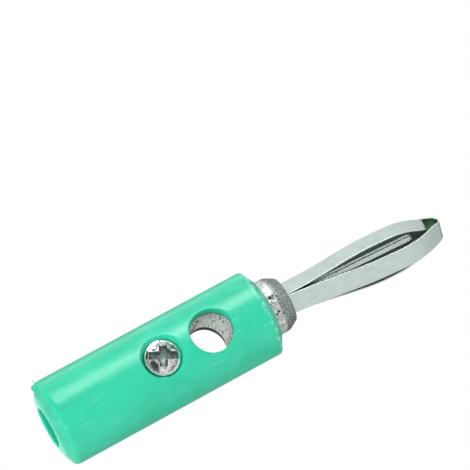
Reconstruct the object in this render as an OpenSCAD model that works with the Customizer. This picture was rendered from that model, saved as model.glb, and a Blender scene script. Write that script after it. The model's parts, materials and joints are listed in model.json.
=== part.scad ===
// Four-millimetre banana plug with a screw-clamped wire and a contact of folded leaves.
// The plug stands on its tail: +Z runs along its axis to the tip, and the clamp screw faces -Y.

/* [Sleeve] */
// Outside diameter of the moulded sleeve
sleeve_d = 9.5; // [8.5:0.1:11]
// Length of the sleeve
sleeve_l = 25.75; // [24:0.05:30]
// How far the chamfer at either end comes in from the side
end_chamfer_w = 1.35; // [0.6:0.05:1.6]
// Length of the chamfer at either end
end_chamfer_l = 0.75; // [0.3:0.05:2]
// Diameter of the cable hole in the tail
cable_hole_d = 4.4; // [3:0.1:5]
// Depth of the cable hole, down to the metal body
cable_hole_l = 8.6; // [5:0.1:9.5]

/* [Metal body] */
// Diameter of the metal body
body_d = 6.1; // [5.6:0.05:6.8]
// Play between the body and the sleeve's bore, on the radius
body_clear = 0.04; // [0.02:0.01:0.1]
// How far the body's nose stands out of the sleeve
nose_l = 2.4; // [1.4:0.1:4]
// Length of the tapered part of the nose
nose_taper_l = 1.1; // [0.4:0.1:1.3]
// Diameter of the nose's front face
nose_face_d = 4.85; // [4.5:0.05:5.4]
// Diameter of the hole for the stripped wire
wire_hole_d = 2.8; // [2.2:0.1:3.2]
// Metal left between the wire hole and the cross socket
wire_web = 0.8; // [0.5:0.1:1.5]

/* [Cross socket] */
// Diameter of the cross socket, which takes a second plug
socket_d = 4.25; // [4:0.05:4.4]
// Distance along the axis from the clamp screw to the cross socket
socket_pitch = 5.75; // [5.4:0.05:6.4]
// How much wider the sleeve's hole is than the socket, on the radius
socket_margin = 0.18; // [0.1:0.01:0.4]

/* [Clamp screw] */
// Distance of the clamp screw from the tail
screw_z = 13.15; // [12.4:0.05:14]
// Diameter of the screw's thread
screw_d = 2.5; // [2:0.1:2.6]
// Play of the thread in the body, on the radius
screw_clear = 0.04; // [0.02:0.01:0.08]
// Diameter of the screw's head
head_d = 3.85; // [3.6:0.05:4.4]
// Height of the screw's head
head_h = 1.2; // [1:0.05:1.5]
// How much wider the sleeve's screw hole is than the head, on the radius
head_margin = 0.32; // [0.1:0.02:0.5]
// Gap between the tightened head and the body
head_gap = 0.05; // [0.02:0.01:0.2]
// Gap between the tightened screw's tip and the far wall of the wire hole
clamp_gap = 0.6; // [0.3:0.05:1]
// Width of the driver slot
slot_w = 0.65; // [0.5:0.05:0.9]
// Depth of the driver slot
slot_depth = 0.45; // [0.3:0.05:0.6]
// Span of the cross recess
recess_d = 3; // [2.4:0.1:3.2]
// Width of the cross recess's arms
recess_arm_w = 0.9; // [0.7:0.05:1.1]
// Depth of the cross recess
recess_depth = 0.85; // [0.5:0.05:0.95]
// Turn of the driver slot about the screw's axis
slot_turn = -27; // [-90:1:90]

/* [Contact leaves] */
// Thickness of the leaf strip
leaf_t = 0.2; // [0.15:0.01:0.26]
// Width of the outer strip
leaf_w = 2.4; // [2:0.05:2.5]
// Distance from the axis to a leaf's outer face at the nose
leaf_root = 1.28; // [1.2:0.01:1.35]
// Play between the inner strip's edges and the outer strip's leaves
leaf_clear = 0.03; // [0.02:0.01:0.06]
// Play of the leaves and the pin in their seats
seat_clear = 0.01; // [0.01:0.005:0.03]
// Diameter across the bowed leaves
crown_d = 4.64; // [4.2:0.02:5]
// How much further out one leaf of the inner strip bows
spare_bow = 0.22; // [0:0.02:0.4]
// Distance from the nose to the widest place
crown_l = 10.6; // [8:0.1:11]
// Length of the leaves beyond the nose
lantern_l = 18.4; // [16:0.1:20]
// Radius of the outer strip's fold at the tip
tip_r = 0.8; // [0.6:0.05:0.9]
// Distance between the outer strip's fold and the inner strip's fold
fold_gap = 1.6; // [1.5:0.05:2.4]
// Size across the inner strip's square fold
inner_fold_d = 2.6; // [2:0.05:2.8]
// Radius of the two bends of that fold
inner_bend_r = 0.45; // [0.35:0.05:0.7]
// Turn of the outer strip's leaves about the axis, from the clamp screw
leaf_turn = 48; // [0:1:90]
// Lean of the leaves off the axis
leaf_lean = 3.5; // [0:0.1:4]

/* [Core pin] */
// Diameter of the core pin
pin_d = 1.2; // [0.6:0.05:1.4]
// Gap between the pin's round end and the inner strip's fold
pin_gap = 1.5; // [0.6:0.1:3]
// Depth of the pin's hole below the leaves
pin_seat_l = 2; // [1:0.1:2.5]
// Metal left between the pin's hole and the cross socket
pin_web = 1; // [0.6:0.1:1.4]
// Lean of the pin off the axis
pin_lean = 2.4; // [0:0.1:4]

/* [Hidden] */
$fn = 64;

// Finishes
sleeve_green = [0.26, 0.85, 0.69];
cast_grey = [0.55, 0.58, 0.57];
screw_grey = [0.74, 0.74, 0.75];
leaf_grey = [0.72, 0.78, 0.77];
pin_grey = [0.66, 0.7, 0.69];

// Soft edges of the moulding and of the turned pieces
tail_edge_r = 0.3;
front_edge_r = 0.15;
face_edge_r = 0.25;
nose_shoulder_r = 0.9;
nose_edge_r = 0.25;
body_tail_chamfer = 0.3;
thread_chamfer = 0.35;
head_crown_h = 0.3;
drill_point_angle = 118;
recess_floor_r = 0.4;

// Sleeve and body
sleeve_r = sleeve_d / 2;
face_r = sleeve_r - end_chamfer_w;
cable_hole_r = cable_hole_d / 2;
body_r = body_d / 2;
bore_r = body_r + body_clear;
nose_z = sleeve_l + nose_l;

// Cross socket and wire hole
socket_r = socket_d / 2;
socket_z = screw_z + socket_pitch;
wire_hole_r = wire_hole_d / 2;
wire_end_z = socket_z - socket_r - wire_web;
drill_point_h = wire_hole_r / tan(drill_point_angle / 2);

// Clamp screw, with its head's underside seat_y from the axis
thread_r = screw_d / 2;
head_r = head_d / 2;
seat_y = body_r + head_gap;
thread_l = seat_y + wire_hole_r - clamp_gap;
crown_sphere_r = (head_r * head_r + head_crown_h * head_crown_h) / (2 * head_crown_h);

// Core pin and leaves, with heights counted from the nose
pin_r = pin_d / 2;
pin_foot_l = nose_z - (socket_z + socket_r + pin_web);
leaf_leg_l = pin_foot_l - pin_seat_l;
inner_w = 2 * (leaf_root - leaf_t - leaf_clear);
inner_l = lantern_l - fold_gap;
pin_l = inner_l - leaf_t - pin_gap;
seat_half = leaf_root + seat_clear;
seat_half_w = max(leaf_root, leaf_w / 2) + seat_clear;

// Shape of a leaf's bow: how much it leans out as it leaves the nose, how much of its rise it runs flat
// below the crown, and how much of its fall it runs flat beyond it
root_flare = 0.1;
crown_flat = 0.85;
fall_flat = 0.43;

// The outer strip clears the inner strip's edges at the shoulder, and runs straight from there to its fold.
// It is slanted there, so it takes up more than its thickness across the axis.
slant_share = 1.15;
tip_centre = [0, lantern_l - tip_r];
shoulder = [inner_w / 2 + leaf_clear + leaf_t * slant_share, inner_l];
tip_slope = bend_slope(shoulder, tip_centre, tip_r);
inner_bend = [inner_fold_d / 2 - inner_bend_r, inner_l - inner_bend_r];

// Cutters run past the faces that they open by this much
past = 1;

// Points of a path that are nearer than this are one point
same_point = 0.001;

// Arc that rounds corner b, between its neighbours a and c
function corner(a, b, c, r, steps = 5) =
    let (
        to_a = (a - b) / norm(a - b),
        to_c = (c - b) / norm(c - b),
        half = acos(to_a * to_c) / 2,
        centre = b + (to_a + to_c) / norm(to_a + to_c) * r / sin(half),
        start = b + to_a * r / tan(half) - centre,
        end = b + to_c * r / tan(half) - centre,
        sweep = 180 - 2 * half
    )
    [for (i = [0:steps])
        let (s = i / steps)
        centre + (start * sin((1 - s) * sweep) + end * sin(s * sweep)) / sin(sweep)];

// Closed outline through corners [x, y, radius], with radius 0 for a sharp one
function rounded(path) =
    let (n = len(path), flat = [for (p = path) [p[0], p[1]]])
    [for (i = [0:n - 1])
        each path[i][2] == 0
            ? [flat[i]]
            : corner(flat[(i + n - 1) % n], flat[i], flat[(i + 1) % n], path[i][2])];

// Points of a cubic curve from p to s, pulled by q and r
function cubic(p, q, r, s, steps = 14) =
    [for (i = [0:steps])
        let (t = i / steps, k = 1 - t)
        k * k * k * p + 3 * k * k * t * q + 3 * k * t * t * r + t * t * t * s];

// Points of an arc between two angles
function arc(centre, r, from, to, steps = 8) =
    [for (i = [0:steps])
        let (a = from + (to - from) * i / steps)
        centre + r * [cos(a), sin(a)]];

function reversed(path) = [for (i = [len(path) - 1:-1:0]) path[i]];
function mirrored(path) = [for (p = path) [-p[0], p[1]]];
function without_repeats(path) =
    [for (i = [0:len(path) - 1])
        if (i == 0 || norm(path[i] - path[max(i - 1, 0)]) > same_point) path[i]];

// Angle off the axis at which a line from point s runs onto the bend round centre c
function bend_slope(s, c, r) =
    acos(r / norm(s - c)) - atan2(c[1] - s[1], s[0] - c[0]);

// A leaf's outer face as [distance from the axis, height above the nose], from its foot to its bend.
// It is straight in its seat, bows out to the crown and comes in to the point near, at the bend's slope.
function leaf_face(near, bend_centre, bend_r, more_bow = 0) =
    let (
        root = [leaf_root, 0],
        crown = [crown_d / 2 + more_bow, crown_l],
        rise = crown_l / 3,
        fall = (near[1] - crown_l) * fall_flat,
        inward = [-sin(tip_slope), cos(tip_slope)]
    )
    concat(
        [[leaf_root, -leaf_leg_l]],
        cubic(root, root + [root_flare, 1] * rise, crown - [0, rise * crown_flat], crown),
        cubic(crown, crown + [0, fall], near - inward * fall, near),
        arc(bend_centre, bend_r, tip_slope, 90)
    );

// The path moved in by t, square to its own run
function inset(path, t) =
    let (n = len(path))
    [for (i = [0:n - 1])
        let (run = path[min(i + 1, n - 1)] - path[max(i - 1, 0)])
        path[i] + t * [-run[1], run[0]] / norm(run)];

// Folded strip from the faces of its two leaves, the first towards +X and the other towards -X
module folded_strip(face, other, width) {
    whole = without_repeats(concat(face, reversed(mirrored(other))));
    rotate([90, 0, 0])
        linear_extrude(height = width, center = true)
            polygon(concat(whole, reversed(inset(whole, leaf_t))));
}

// Places what stands on the nose, leaning by the given angle towards +X
module on_nose(lean) {
    translate([0, 0, nose_z])
        rotate([0, lean, 0])
            children();
}

// Round cutter that opens towards -Y at the given height
module front_hole(z, r, depth) {
    translate([0, 0, z])
        rotate([90, 0, 0])
            cylinder(r = r, h = depth);
}

// Round cutter that runs right through along Y at the given height
module cross_hole(z, r, length) {
    translate([0, 0, z])
        rotate([90, 0, 0])
            cylinder(r = r, h = length, center = true);
}

module sleeve() {
    color(sleeve_green)
        difference() {
            rotate_extrude()
                polygon(rounded([
                    [cable_hole_r, 0, face_edge_r],
                    [face_r, 0, face_edge_r],
                    [sleeve_r, end_chamfer_l, tail_edge_r],
                    [sleeve_r, sleeve_l - end_chamfer_l, front_edge_r],
                    [face_r, sleeve_l, 0],
                    [bore_r, sleeve_l, 0],
                    [bore_r, cable_hole_l, 0],
                    [cable_hole_r, cable_hole_l, 0]
                ]));
            front_hole(screw_z, head_r + head_margin, sleeve_r + past);
            cross_hole(socket_z, socket_r + socket_margin, sleeve_d + 2 * past);
        }
}

module plug_body() {
    color(cast_grey)
        difference() {
            rotate_extrude()
                polygon(rounded([
                    [0, cable_hole_l, 0],
                    [body_r - body_tail_chamfer, cable_hole_l, 0],
                    [body_r, cable_hole_l + body_tail_chamfer, 0],
                    [body_r, nose_z - nose_taper_l, nose_shoulder_r],
                    [nose_face_d / 2, nose_z, nose_edge_r],
                    [0, nose_z, 0]
                ]));
            rotate_extrude()
                polygon([
                    [0, cable_hole_l - past],
                    [wire_hole_r, cable_hole_l - past],
                    [wire_hole_r, wire_end_z - drill_point_h],
                    [0, wire_end_z]
                ]);
            front_hole(screw_z, thread_r + screw_clear, body_r + past);
            cross_hole(socket_z, socket_r, body_d + 2 * past);
            on_nose(leaf_lean)
                rotate([0, 0, leaf_turn - 90])
                    translate([-seat_half, -seat_half_w, -leaf_leg_l])
                        cube([2 * seat_half, 2 * seat_half_w, leaf_leg_l + past]);
            on_nose(pin_lean)
                translate([0, 0, -pin_foot_l])
                    cylinder(r = pin_r + seat_clear, h = pin_foot_l);
        }
}

// Pan head and thread about +Z, with the head's underside at the origin
module screw_blank() {
    rotate_extrude()
        polygon(concat(
            [
                [0, -thread_l],
                [thread_r - thread_chamfer, -thread_l],
                [thread_r, thread_chamfer - thread_l],
                [thread_r, 0],
                [head_r, 0]
            ],
            arc([0, head_h - crown_sphere_r], crown_sphere_r, acos(head_r / crown_sphere_r), 90)
        ));
}

// Straight slot and cross recess, cut into the head from above
module driver_recess() {
    translate([0, 0, head_h]) {
        cube([head_d + 2 * past, slot_w, 2 * slot_depth], center = true);
        intersection() {
            for (turn = [0, 90])
                rotate([0, 0, turn])
                    cube([recess_d, recess_arm_w, 2 * recess_depth], center = true);
            translate([0, 0, -recess_depth])
                cylinder(r1 = recess_floor_r, r2 = recess_d / 2, h = recess_depth);
        }
    }
}

module clamp_screw() {
    color(screw_grey)
        translate([0, -seat_y, screw_z])
            rotate([90, 0, 0])
                difference() {
                    screw_blank();
                    rotate([0, 0, slot_turn])
                        driver_recess();
                }
}

module outer_strip() {
    face = leaf_face(shoulder, tip_centre, tip_r);
    color(leaf_grey)
        on_nose(leaf_lean)
            rotate([0, 0, leaf_turn - 90])
                folded_strip(face, face, leaf_w);
}

module inner_strip() {
    near_bend = inner_bend + inner_bend_r * [cos(tip_slope), sin(tip_slope)];
    wide = leaf_face(near_bend, inner_bend, inner_bend_r, spare_bow);
    plain = leaf_face(near_bend, inner_bend, inner_bend_r);
    color(leaf_grey)
        on_nose(leaf_lean)
            rotate([0, 0, leaf_turn])
                folded_strip(wide, plain, inner_w);
}

module core_pin() {
    color(pin_grey)
        on_nose(pin_lean)
            rotate_extrude()
                polygon(concat(
                    [[0, -pin_foot_l], [pin_r, -pin_foot_l]],
                    arc([0, pin_l - pin_r], pin_r, 0, 90)
                ));
}

sleeve();
plug_body();
clamp_screw();
outer_strip();
inner_strip();
core_pin();
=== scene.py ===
"""Green banana plug with a folded-leaf contact: the finish of every surface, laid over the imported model.

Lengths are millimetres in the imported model's frame, and become metres where a mesh is made. The plug stands
on its tail with its axis along +Z, and its clamp screw and cross socket face -Y.
"""
import json
import math

import bmesh
import bpy
import numpy as np
from mathutils import Matrix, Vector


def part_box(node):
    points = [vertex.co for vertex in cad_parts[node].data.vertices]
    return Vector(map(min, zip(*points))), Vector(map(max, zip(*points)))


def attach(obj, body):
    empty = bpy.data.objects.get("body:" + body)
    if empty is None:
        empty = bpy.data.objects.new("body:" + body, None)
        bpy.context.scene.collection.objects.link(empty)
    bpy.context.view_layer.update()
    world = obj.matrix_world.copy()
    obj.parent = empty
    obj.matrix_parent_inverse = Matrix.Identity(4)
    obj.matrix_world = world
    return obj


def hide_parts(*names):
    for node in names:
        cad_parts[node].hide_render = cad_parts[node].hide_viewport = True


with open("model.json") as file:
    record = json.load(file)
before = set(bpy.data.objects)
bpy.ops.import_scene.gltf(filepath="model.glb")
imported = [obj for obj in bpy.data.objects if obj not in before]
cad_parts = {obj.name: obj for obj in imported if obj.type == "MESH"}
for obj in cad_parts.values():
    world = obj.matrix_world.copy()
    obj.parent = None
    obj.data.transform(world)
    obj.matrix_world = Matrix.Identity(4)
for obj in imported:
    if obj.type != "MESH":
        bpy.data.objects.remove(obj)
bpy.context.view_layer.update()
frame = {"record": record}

MM = 0.001
SEED = 11


def node_box(node):
    """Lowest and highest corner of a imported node, in millimetres."""
    low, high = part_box(node)
    return np.array(low) / MM, np.array(high) / MM


MOUNTS = {mount["name"]: mount for mount in frame["record"]["mounts"]}

# Sleeve
SLEEVE_R, _, SLEEVE_L = node_box("sleeve")[1]
CHAMFER_W = 1.35
CHAMFER_L = 0.75
FACE_R = SLEEVE_R - CHAMFER_W
CABLE_R = MOUNTS["cable_entry"]["dims"]["r_mm"]
TAIL_EDGE_R = 0.7
FRONT_EDGE_R = 0.15
LIP_R = 2.65
LIP_DROP = 0.2
LIP_EDGE_R = 0.12
MOUTH_EDGE_R = 0.06
HOLE_RIM_R = 0.16

# Metal body
BODY_LOW, BODY_HIGH = node_box("plug_body")
BODY_R = BODY_HIGH[0]
BODY_TAIL_Z = BODY_LOW[2]
NOSE_Z = BODY_HIGH[2]
BODY_CLEAR = 0.04
BORE_R = BODY_R + BODY_CLEAR
NOSE_TAPER_L = 1.1
CONE_Z = NOSE_Z - 1.45
NOSE_FACE_R = 2.425
NOSE_SHOULDER_R = 0.9
NOSE_EDGE_R = 0.25
BODY_TAIL_CHAMFER = 0.3
WIRE_R = 1.4
WIRE_WEB = 0.8
DRILL_POINT_ANGLE = math.radians(118)
BODY_RIM_R = 0.05

# Cross socket
SOCKET_Z = MOUNTS["cross_socket"]["pos_m"][2] / MM
SOCKET_R = MOUNTS["cross_socket"]["dims"]["r_mm"]
SOCKET_MARGIN = 0.18

# Clamp screw, with heights counted outwards from under its head
SCREW_LOW, SCREW_HIGH = node_box("clamp_screw")
HEAD_R = SCREW_HIGH[0]
SCREW_Z = (SCREW_LOW[2] + SCREW_HIGH[2]) / 2
HEAD_MARGIN = 0.32
HEAD_PLAY = 0.05
HEAD_FOOT_Y = 3.75
HEAD_H = 1.2
HEAD_CROWN_H = 0.3
HEAD_EDGE_R = 0.35
SEAT_Y = SCREW_LOW[1] + HEAD_H
SHANK_L = SCREW_HIGH[1] - SEAT_Y
THREAD_R = 1.25
THREAD_CLEAR = 0.04
THREAD_PITCH = 0.45
THREAD_DEPTH = 0.24
THREAD_CHAMFER = 0.35
SLOT_W = 0.65
SLOT_DEPTH = 0.45
SLOT_TURN = math.radians(-27)
RECESS_RIGHT = 1.5
RECESS_DOWN = 1.15
RECESS_ARM_W = 0.86
RECESS_DEPTH = 0.85

# Contact strips and pin, with heights counted from the nose
LEAF_T = 0.2
LEAF_W = 2.4
LEAF_ROOT = 1.28
LEAF_CLEAR = 0.03
INNER_W = 2 * (LEAF_ROOT - LEAF_T - LEAF_CLEAR)
LEAF_LEG_L = 4.125
CROWN = np.array([2.32, 10.6])
SPARE_BOW = 0.22
LANTERN_L = 18.4
TIP_R = 0.8
FOLD_GAP = 1.6
INNER_L = LANTERN_L - FOLD_GAP
INNER_FOLD_HALF = 1.3
INNER_BEND_R = 0.45
SLANT_SHARE = 1.15
ROOT_FLARE = 0.02
CROWN_FLAT = 0.85
FALL_FLAT = 0.43
LEAF_EDGE_R = 0.06
TIP_NARROWING = 0.14
TIP_NARROWING_L = 0.5
LEAF_TURN = math.radians(48)
LEAF_LEAN = math.radians(3.5)
SEAT_HALF = LEAF_ROOT + 0.01
PIN_R = node_box("core_pin")[1][1]
PIN_L = INNER_L - LEAF_T - 1.5
PIN_FOOT_L = 6.125
PIN_LEAN = math.radians(2.4)

# Patches of wall round the cross holes
HOLE_SECTOR = math.radians(60)
WIRE_SECTOR = math.radians(75)
CELL_HALF = (SOCKET_Z - SCREW_Z) / 2
CELL_LOW = SCREW_Z - CELL_HALF
CELL_MID = SCREW_Z + CELL_HALF
CELL_HIGH = SOCKET_Z + CELL_HALF
CELL_ROWS = 40


# Shapes as grids of points

def grid_faces(rows, columns, closed):
    """Quads between neighbouring rows and columns of a grid numbered row by row. A closed grid joins its last
    column to its first."""
    row = np.arange(rows - 1)[:, None] * columns
    column = np.arange(columns if closed else columns - 1)[None, :]
    after = (column + 1) % columns
    quads = np.stack([row + column, row + after, row + columns + after, row + columns + column], axis=-1)
    return quads.reshape(-1, 4).tolist()


def patch(grid, closed=True):
    """A grid of points (rows, columns, 3) as a list of points with its faces."""
    rows, columns, _ = grid.shape
    return grid.reshape(-1, 3), grid_faces(rows, columns, closed)


def rounded_path(corners, steps=6):
    """Path through corners (a, b, radius). A corner with a radius becomes the arc that touches both of
    its sides."""
    flat = np.array([corner[:2] for corner in corners], float)
    parts = []
    for index, (_, _, radius) in enumerate(corners):
        here = flat[index]
        if radius == 0:
            parts.append(here[None])
            continue
        back = flat[index - 1] - here
        ahead = flat[index + 1] - here
        back = back / np.linalg.norm(back)
        ahead = ahead / np.linalg.norm(ahead)
        half = math.acos(back @ ahead) / 2
        centre = here + (back + ahead) / np.linalg.norm(back + ahead) * radius / math.sin(half)
        start = here + back * radius / math.tan(half) - centre
        end = here + ahead * radius / math.tan(half) - centre
        sweep = math.pi - 2 * half
        share = np.linspace(0, 1, steps + 1)[:, None]
        swept = start * np.sin((1 - share) * sweep) + end * np.sin(share * sweep)
        parts.append(centre + swept / math.sin(sweep))
    return np.concatenate(parts)


def subdivided(path, spacing):
    """The path with each of its segments cut evenly into steps no longer than spacing."""
    runs = np.diff(path, axis=0)
    steps = np.maximum(np.ceil(np.linalg.norm(runs, axis=1) / spacing).astype(int), 1)
    segment = np.repeat(np.arange(len(steps)), steps)
    share = (np.arange(segment.size) - np.repeat(np.cumsum(steps) - steps, steps)) / steps[segment]
    return np.concatenate([path[segment] + share[:, None] * runs[segment], path[-1:]])


def cubic(start, pull, push, end, steps=40):
    """Points of a cubic curve from start to end, drawn towards pull and then push."""
    t = np.linspace(0, 1, steps + 1)[:, None]
    k = 1 - t
    return k**3 * start + 3 * k**2 * t * pull + 3 * k * t**2 * push + t**3 * end


def arc(centre, radius, first, last, steps=16):
    """Points of an arc between two angles."""
    angle = np.linspace(first, last, steps + 1)[:, None]
    return centre + radius * np.concatenate([np.cos(angle), np.sin(angle)], axis=1)


def round_axis(radius, angle, height):
    """Points at radii, angles and heights round the Z axis, with angle 0 at -Y."""
    return np.stack(np.broadcast_arrays(radius * np.sin(angle), -radius * np.cos(angle), height), axis=-1)


def revolved(profile, angles):
    """A profile of (radius, height) points swung round the Z axis."""
    return round_axis(profile[:, :1], angles, profile[:, 1:])


def between(first, last, steps):
    """Rows that run straight from one row of points to another, both included."""
    share = np.linspace(0, 1, steps + 1)[:, None, None]
    return (1 - share) * first + share * last


def stacked(*parts):
    """Rows of several grids that each begin with the last row of the one before."""
    return np.concatenate([parts[0]] + [part[1:] for part in parts[1:]])


def leaned(points, lean):
    """Points counted from the nose, leaned towards +X about it, in the part's frame."""
    x, y, z = np.moveaxis(points, -1, 0)
    turned = [x * math.cos(lean) + z * math.sin(lean), y, z * math.cos(lean) - x * math.sin(lean) + NOSE_Z]
    return np.stack(turned, axis=-1)


# Unevenness

NOISE_CELLS = 32


def soft_noise(points, cell, seed):
    """Smooth field from -1 to 1: random values on a cubic lattice of the given cell, eased from corner to
    corner."""
    lattice = np.random.default_rng(SEED + seed).uniform(-1, 1, (NOISE_CELLS,) * 3)
    scaled = points / cell
    base = np.floor(scaled).astype(int)
    part = scaled - base
    part = part * part * (3 - 2 * part)
    total = np.zeros(points.shape[:-1])
    for corner in np.ndindex(2, 2, 2):
        x, y, z = np.moveaxis((base + corner) % NOISE_CELLS, -1, 0)
        weight = np.prod(np.where(np.array(corner) == 1, part, 1 - part), axis=-1)
        total += weight * lattice[x, y, z]
    return total


def pitted(points, centres, widths, depths):
    """Depth of a set of round pits at each point: each falls off as a bell round its centre."""
    away = np.linalg.norm(points[..., None, :] - centres, axis=-1)
    return (depths * np.exp(-(away / widths) ** 2)).sum(axis=-1)


# Walls with holes across them

def ring_angles(sector, hole_columns, columns):
    """Angles round a tube, from -sector: hole_columns steps across the hole's sector, the rest round
    the back."""
    front = np.linspace(-sector, sector, hole_columns + 1)[:-1]
    back = np.linspace(sector, 2 * math.pi - sector, columns - hole_columns + 1)[:-1]
    return np.concatenate([front, back])


def cell_outline(sector, low, high, columns):
    """Outline of the patch of wall round a hole as (angle off the hole's axis, height): along its low side,
    up, back along its high side and down."""
    across = np.linspace(-sector, sector, columns + 1)
    up = np.linspace(low, high, CELL_ROWS + 1)
    angle = [across[:-1], np.full(CELL_ROWS, sector), across[:0:-1], np.full(CELL_ROWS, -sector)]
    height = [np.full(columns, low), up[:-1], np.full(columns, high), up[:0:-1]]
    return np.concatenate(angle), np.concatenate(height)


def hole_turn(outline, radius, centre_z):
    """Direction round the hole's axis in which each point of its patch's outline lies."""
    angle, height = outline
    return np.arctan2(height - centre_z, radius * np.sin(angle))


def apron(radius, side, centre_z, hole_r, turn, outline, steps=8):
    """Rows of a tube's wall from a hole's edge out to its patch's outline, straight in x and z. Side is -1 on
    the tube's -Y side and 1 on its +Y side."""
    angle, height = outline
    share = np.linspace(0, 1, steps + 1)[:, None]
    x = (1 - share) * hole_r * np.cos(turn) + share * radius * np.sin(angle)
    z = (1 - share) * (centre_z + hole_r * np.sin(turn)) + share * height
    return np.stack([x, side * np.sqrt(radius**2 - x**2), z], axis=-1)


def rim(radius, side, centre_z, hole_r, edge_r, turn, steps=6):
    """Rows round a hole's soft edge: the hole narrows by edge_r while the wall sinks by edge_r, as a
    quarter round."""
    bend = np.linspace(0, math.pi / 2, steps + 1)[:, None]
    reach = hole_r + edge_r * (1 - np.sin(bend))
    x = reach * np.cos(turn)
    z = centre_z + reach * np.sin(turn)
    y = side * (np.sqrt(radius**2 - x**2) - edge_r * (1 - np.cos(bend)))
    return np.stack([x, y, z], axis=-1)


def tube_sector(radius, first, last, low, high, columns):
    """A plain stretch of a tube's wall between two angles and two heights."""
    angles = np.linspace(first, last, columns + 1)
    heights = np.linspace(low, high, CELL_ROWS + 1)
    return revolved(np.stack([np.full_like(heights, radius), heights], axis=-1), angles)


def plain_walls(radius, columns):
    """The wall of a tube beside its cross holes: both flanks, and the back opposite the clamp screw."""
    flank = columns // 6
    rows = [(CELL_LOW, CELL_MID), (CELL_MID, CELL_HIGH)]
    far = math.pi - HOLE_SECTOR
    walls = [
        tube_sector(radius, first, last, low, high, flank)
        for low, high in rows
        for first, last in [(HOLE_SECTOR, far), (2 * math.pi - far, 2 * math.pi - HOLE_SECTOR)]
    ]
    walls.append(tube_sector(radius, far, 2 * math.pi - far, CELL_LOW, CELL_MID, 2 * flank))
    return [patch(wall, closed=False) for wall in walls]


# Pieces from their patches

MERGE_DISTANCE = 0.0004
WALL_STEP = 0.3
CRISP_FROM = math.radians(40)
SCREW_CRISP_FROM = math.radians(50)
NUB_CRISP_FROM = math.radians(60)


def new_mesh(name, patches, sharp, marks=None):
    """One closed mesh from patches of (points, faces): seams and poles are merged, faces turned outwards, and
    edges steeper than the angle sharp left crisp. Marks, if given, is a name with a vector for each point."""
    points = np.concatenate([part[0] for part in patches])
    starts = np.cumsum([0] + [len(part[0]) for part in patches])
    faces = [
        [vertex + int(start) for vertex in face]
        for start, part in zip(starts, patches)
        for face in part[1]
    ]
    mesh = bpy.data.meshes.new(name)
    mesh.from_pydata((points * MM).tolist(), [], faces)
    if marks is not None:
        layer = mesh.attributes.new(marks[0], "FLOAT_VECTOR", "POINT")
        layer.data.foreach_set("vector", np.ascontiguousarray(marks[1], dtype=np.float32).ravel())
    shape = bmesh.new()
    shape.from_mesh(mesh)
    bmesh.ops.remove_doubles(shape, verts=shape.verts, dist=MERGE_DISTANCE * MM)
    bmesh.ops.recalc_face_normals(shape, faces=shape.faces)
    shape.to_mesh(mesh)
    shape.free()
    mesh.polygons.foreach_set("use_smooth", np.ones(len(mesh.polygons), bool))
    mesh.set_sharp_from_angle(angle=sharp)
    mesh.update()
    return mesh


def add_piece(name, mesh, material, body, node=None):
    """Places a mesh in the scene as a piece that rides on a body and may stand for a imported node."""
    piece = bpy.data.objects.new(name, mesh)
    bpy.context.scene.collection.objects.link(piece)
    piece.data.materials.append(material)
    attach(piece, body)
    if node:
        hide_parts(node)


# Sleeve

SLEEVE_COLUMNS = 192


def sleeve_mesh():
    """The moulding: a closed profile swung round the axis, with the clamp screw's hole, which narrows
    inwards, and the cross socket's two holes let through its wall."""
    columns = SLEEVE_COLUMNS
    hole_columns = columns // 3
    angles = ring_angles(HOLE_SECTOR, hole_columns, columns)
    front = rounded_path([
        (SLEEVE_R, CELL_HIGH, 0),
        (SLEEVE_R, SLEEVE_L - CHAMFER_L, FRONT_EDGE_R),
        (FACE_R, SLEEVE_L, MOUTH_EDGE_R),
        (BORE_R, SLEEVE_L, MOUTH_EDGE_R),
        (BORE_R, CELL_HIGH, 0),
    ])
    tail = rounded_path([
        (BORE_R, CELL_LOW, 0),
        (BORE_R, BODY_TAIL_Z, 0),
        (CABLE_R, BODY_TAIL_Z, 0),
        (CABLE_R, 0, LIP_EDGE_R),
        (LIP_R, 0, LIP_EDGE_R),
        (FACE_R, LIP_DROP, LIP_EDGE_R),
        (SLEEVE_R, CHAMFER_L, TAIL_EDGE_R),
        (SLEEVE_R, CELL_LOW, 0),
    ])
    patches = [patch(revolved(subdivided(path, WALL_STEP), angles)) for path in (front, tail)]
    patches += plain_walls(SLEEVE_R, columns) + plain_walls(BORE_R, columns)
    socket_r = SOCKET_R + SOCKET_MARGIN
    holes = [
        (SCREW_Z, HEAD_R + HEAD_MARGIN, HEAD_R + HEAD_PLAY, -1, CELL_LOW, CELL_MID),
        (SOCKET_Z, socket_r, socket_r, -1, CELL_MID, CELL_HIGH),
        (SOCKET_Z, socket_r, socket_r, 1, CELL_MID, CELL_HIGH),
    ]
    for centre_z, hole_r, foot_r, side, low, high in holes:
        outline = cell_outline(HOLE_SECTOR, low, high, hole_columns)
        turn = hole_turn(outline, SLEEVE_R, centre_z)
        outside = apron(SLEEVE_R, side, centre_z, hole_r + HOLE_RIM_R, turn, outline)
        edge = rim(SLEEVE_R, side, centre_z, hole_r, HOLE_RIM_R, turn)
        inside = apron(BORE_R, side, centre_z, foot_r, turn, outline)
        foot = inside[0] * np.array([1, 0, 1]) + np.array([0, side * HEAD_FOOT_Y, 0])
        wall = stacked(between(edge[-1], foot, 8), between(foot, inside[0], 4))
        patches.append(patch(stacked(outside[::-1], edge, wall, inside)))
    return new_mesh("sleeve_moulding", patches, CRISP_FROM)


# Metal body

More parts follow.
